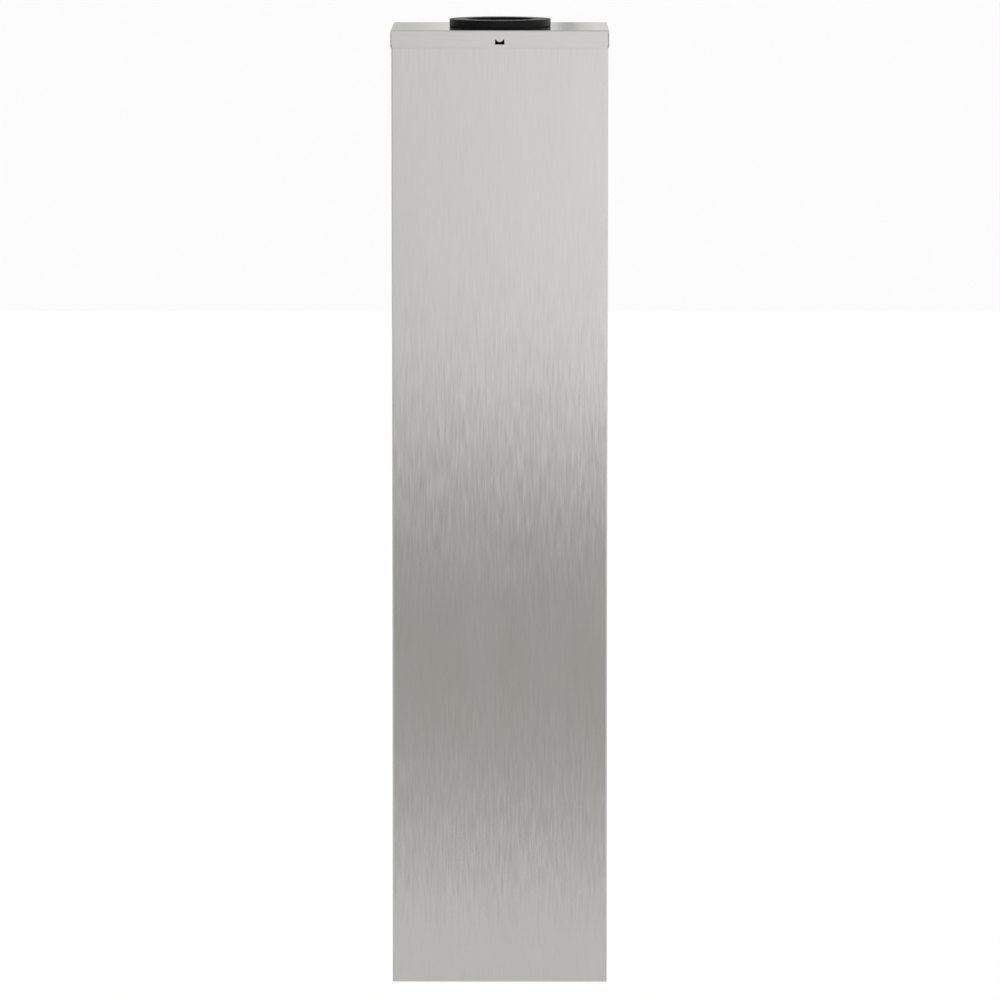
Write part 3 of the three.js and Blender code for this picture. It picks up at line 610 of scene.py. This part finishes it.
def floor():
    """A plain white floor, seen only from above."""
    shader = shader_of("floor_white")
    paint = shader.add("ShaderNodeBsdfPrincipled", {
        "Base Color": (0.86, 0.86, 0.86, 1),
        "Roughness": 0.9,
        "Emission Color": (1, 1, 1, 1),
        "Emission Strength": FLOOR_GLOW,
    })
    clear = shader.add("ShaderNodeBsdfTransparent")
    back = shader.add("ShaderNodeNewGeometry").outputs["Backfacing"]
    mix = shader.add("ShaderNodeMixShader", {0: back, 1: paint.outputs[0], 2: clear.outputs[0]})
    sheet_object("floor", level_square(FLOOR_RADIUS, FLOOR_Z), shader.finish(mix))


def card_colour(level):
    """A neutral white that turns slightly olive as it darkens."""
    return (level, level * 0.998, level * (0.88 + 0.12 * min(level, 1.0)), 1)


def card(name, corners, stops, axis=None, lean=0.0):
    """A reflector card that only the object sees, with (place, level) stops of brightness along an axis.

    Without an axis the stops are distances from the object. A lean makes the card's upper part that
    much brighter on the right than in the middle.
    """
    shader = shader_of(name)
    place = shader.add("ShaderNodeTexCoord").outputs["Object"]
    parts = shader.add("ShaderNodeSeparateXYZ", {"Vector": place}).outputs
    if axis is None:
        along = shader.add("ShaderNodeVectorMath", {0: place}, operation="LENGTH").outputs["Value"]
    else:
        along = parts[axis]
    first, last = stops[0][0], stops[-1][0]
    share = shader.spread(along, 0.0, 1.0, first, last)
    ramp = shader.add("ShaderNodeValToRGB", {"Fac": share})
    ramp.color_ramp.interpolation = "B_SPLINE"
    marks = ramp.color_ramp.elements
    while len(marks) < len(stops):
        marks.new(0.5)
    for mark, (at, level) in zip(marks, stops):
        mark.position = (at - first) / (last - first)
        mark.color = card_colour(level)
    sideways = shader.spread(parts[X_AXIS], -lean, lean, -LEAN_HALF_WIDTH, LEAN_HALF_WIDTH)
    upper = shader.spread(parts[Z_AXIS], 0.0, 1.0, *LEAN_RISE)
    strength = shader.maths("MULTIPLY_ADD", sideways, upper, 1.0)
    glow = shader.add("ShaderNodeEmission", {"Color": ramp.outputs["Color"], "Strength": strength})
    sheet = sheet_object(name, corners, shader.finish(glow))
    sheet.visible_camera = False
    sheet.visible_shadow = False
    sheet.visible_diffuse = False


def upright(x0, x1, y, z0, z1):
    """The corners of an upright sheet that faces front and back."""
    return [(x0, y, z0), (x1, y, z0), (x1, y, z1), (x0, y, z1)]


def studio_light():
    """White all round for the camera. The object sees a slightly darker left, back and ceiling."""
    world = bpy.data.worlds.new("studio")
    bpy.context.scene.world = world
    nodes = Nodes(world)
    direction = nodes.add("ShaderNodeTexCoord").outputs["Generated"]
    parts = nodes.add("ShaderNodeSeparateXYZ", {"Vector": direction}).outputs
    fades = (
        (Y_AXIS, 0.1, 0.9, ROOM_BACK),
        (X_AXIS, -0.1, -0.9, ROOM_LEFT),
        (Z_AXIS, 0.35, 1.0, ROOM_CEILING),
    )
    level = 1.0
    for axis, start, stop, far in fades:
        fade = nodes.add(
            "ShaderNodeMapRange",
            {"Value": parts[axis], "From Min": start, "From Max": stop, "To Min": 1.0, "To Max": far},
            interpolation_type="SMOOTHSTEP",
        )
        level = nodes.maths("MULTIPLY", fade.outputs[0], level)
    seen = nodes.add("ShaderNodeLightPath").outputs["Is Camera Ray"]
    strength = nodes.add("ShaderNodeMapRange", {"Value": seen, "To Min": level, "To Max": 1.0})
    light = nodes.add("ShaderNodeBackground", {"Color": (1, 1, 1, 1), "Strength": strength.outputs[0]})
    nodes.finish(light, "ShaderNodeOutputWorld")


camera()
floor()
studio_light()

# a bright room with a dark band low down in front, which shades the lower half of the front
card(
    "front_card", upright(-0.8, 0.8, CAD_BOX[0].y - CARD_DISTANCE, -0.82, 0.50),
    [
        (-0.82, 0.80), (-0.72, 0.79), (-0.62, 1.08), (-0.56, 0.72), (-0.48, 0.44), (-0.34, 0.44),
        (-0.22, 0.385), (-0.11, 0.38), (0.02, 1.03), (0.14, 1.20), (0.33, 0.84), (0.50, 1.28),
    ],
    Z_AXIS, lean=0.34,
)
# what the lid's top shows at a glance: a dark upright just right of the collar
card(
    "back_card", upright(-0.5, 0.5, BACK_CARD_Y, 0.5, 0.66),
    [
        (-0.5, 0.58), (-0.12, 0.58), (-0.09, 0.60), (-0.062, 0.76), (0.057, 0.73), (0.068, 0.46),
        (0.080, 0.46), (0.090, 0.60), (0.112, 0.75), (0.5, 0.70),
    ],
    X_AXIS,
)

# the floor as the object sees it: darker close by, so that every wall shades off towards the bottom
card(
    "floor_card", level_square(FLOOR_CARD_RADIUS, FLOOR_Z + 0.01),
    [(0.85, 0.52), (1.4, 0.55), (2.2, 0.68), (3.6, 0.87), (6.0, 1.00), (12.0, 1.04)],
)

bpy.context.scene.view_settings.view_transform = "Standard"
